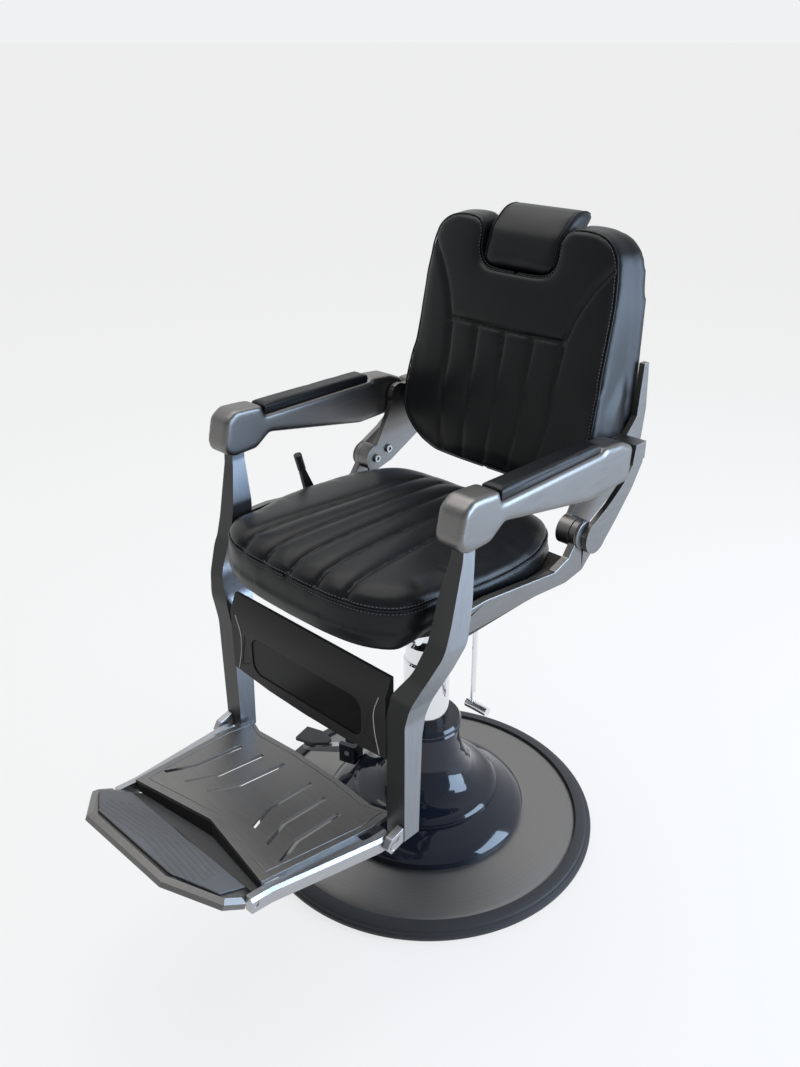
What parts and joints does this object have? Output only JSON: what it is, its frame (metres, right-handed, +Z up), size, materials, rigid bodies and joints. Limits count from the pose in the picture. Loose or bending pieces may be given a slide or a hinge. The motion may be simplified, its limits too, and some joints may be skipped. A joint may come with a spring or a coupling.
{
  "type": "barber chair",
  "caption": "Hydraulic barber chair: round base with bell pedestal, swivel seat, reclining back linked to arms and legs, sliding headrest, footrest and foot pump.",
  "frame": {"origin": "on the floor under the column's axis", "axes": "+Z up along the column, the chair faces -Y, +X at the sitter's left"},
  "size_m": [0.6999, 1.0473, 1.216],
  "materials": {
    "gunmetal": "dark brushed casting",
    "base_steel": "dark, brushed in circles",
    "leg_black": "satin black",
    "gloss_black": "high gloss",
    "chrome": "polished",
    "steel": "bare",
    "rubber": "ribbed matt",
    "leather": "smooth semi-gloss",
    "black_plastic": "fine satin",
    "plywood": "raw ply"
  },
  "bodies": {
    "base": {"base_plate": "base_steel", "base_ring": "rubber", "pedestal_skirt": "gloss_black", "pedestal_bell": "gloss_black", "neck_collar": "gloss_black", "pump_cylinder": "steel", "cylinder_bolts": "steel", "pump_box": "gloss_black", "pump_pin": "steel"},
    "lift": {"lift_ram": "chrome", "ram_ring": "black_plastic"},
    "seat_frame": {"swivel_hub": "chrome", "seat_cradle": "gloss_black", "seat_front_rail": "steel", "cross_tube": "chrome", "seat_board": "plywood", "link_rod": "chrome", "link_boss": "chrome", "side_rail_left": "gunmetal", "side_rail_right": "gunmetal", "hinge_disc_left": "black_plastic", "hinge_disc_right": "black_plastic", "hinge_pins": "steel", "leg_pins": "steel", "seat_cushion": "leather", "lever_pin": "steel"},
    "backrest": {"back_bracket_left": "gunmetal", "back_bracket_right": "gunmetal", "arm_pins": "steel", "back_shell": "black_plastic", "back_cushion": "leather", "headrest_guide": "steel"},
    "headrest": {"headrest_bar": "steel", "headrest_cushion": "leather"},
    "arm_left": {"arm_left": "gunmetal", "arm_pad_left": "leather", "arm_front_pin_left": "steel"},
    "arm_right": {"arm_right": "gunmetal", "arm_pad_right": "leather", "arm_front_pin_right": "steel"},
    "leg_frame": {"leg_post_left": "leg_black", "leg_post_right": "leg_black", "calf_panel": "leg_black", "calf_pad": "gloss_black", "foot_knuckle_left": "gunmetal", "foot_knuckle_right": "gunmetal", "foot_pins": "steel"},
    "footrest": {"foot_plate": "gunmetal", "foot_arm_left": "gunmetal", "foot_arm_right": "gunmetal", "toe_pins": "steel"},
    "toe_rest": {"toe_plate": "gunmetal", "toe_tread": "rubber"},
    "foot_pump": {"pump_lever": "steel", "pump_pedal": "rubber"},
    "lever": {"recline_lever": "leg_black", "lever_grip": "black_plastic"}
  },
  "joints": [
    {"name": "lift_slide", "type": "slide", "parent": "base", "child": "lift", "axis": [0, 0, 1], "range_m": [-0.09, 0.09]},
    {"name": "swivel", "type": "hinge", "parent": "lift", "child": "seat_frame", "pos_m": [0, 0, 0.42], "axis": [0, 0, 1], "continuous": true},
    {"name": "recline", "type": "hinge", "parent": "seat_frame", "child": "backrest", "pos_m": [0, 0.096, 0.722], "axis": [-1, 0, 0], "range_deg": [0, 38]},
    {"name": "leg_swing", "type": "hinge", "parent": "seat_frame", "child": "leg_frame", "pos_m": [0, -0.24, 0.68], "axis": [-1, 0, 0], "range_deg": [0, 23]},
    {"name": "arm_left_tilt", "type": "hinge", "parent": "backrest", "child": "arm_left", "pos_m": [0.271, 0.165, 0.84], "axis": [-1, 0, 0], "range_deg": [-31, 0]},
    {"name": "arm_right_tilt", "type": "hinge", "parent": "backrest", "child": "arm_right", "pos_m": [-0.271, 0.165, 0.84], "axis": [-1, 0, 0], "range_deg": [-31, 0]},
    {"name": "headrest_slide", "type": "slide", "parent": "backrest", "child": "headrest", "axis": [0, 0, 1], "range_m": [0, 0.12]},
    {"name": "footrest_fold", "type": "hinge", "parent": "leg_frame", "child": "footrest", "pos_m": [0, -0.338, 0.29], "axis": [-1, 0, 0], "range_deg": [0, 35]},
    {"name": "toe_fold", "type": "hinge", "parent": "footrest", "child": "toe_rest", "pos_m": [0, -0.58862, 0.31634], "axis": [-1, 0, 0], "range_deg": [0, 60]},
    {"name": "pump_stroke", "type": "hinge", "parent": "base", "child": "foot_pump", "pos_m": [-0.16739, -0.05439, 0.108], "axis": [0.309, -0.9511, 0], "range_deg": [0, 12], "stiffness_Nm_per_rad": 15, "springref_deg": -8.59},
    {"name": "lever_pull", "type": "hinge", "parent": "seat_frame", "child": "lever", "pos_m": [-0.274, -0.045, 0.668], "axis": [-1, 0, 0], "range_deg": [0, 20], "stiffness_Nm_per_rad": 4, "springref_deg": -5.73}
  ],
  "couplings": [
    {"joint": "leg_swing", "follows": "recline", "ratio": 0.59},
    {"joint": "arm_left_tilt", "follows": "recline", "ratio": -0.815},
    {"joint": "arm_right_tilt", "follows": "recline", "ratio": -0.815}
  ]
}
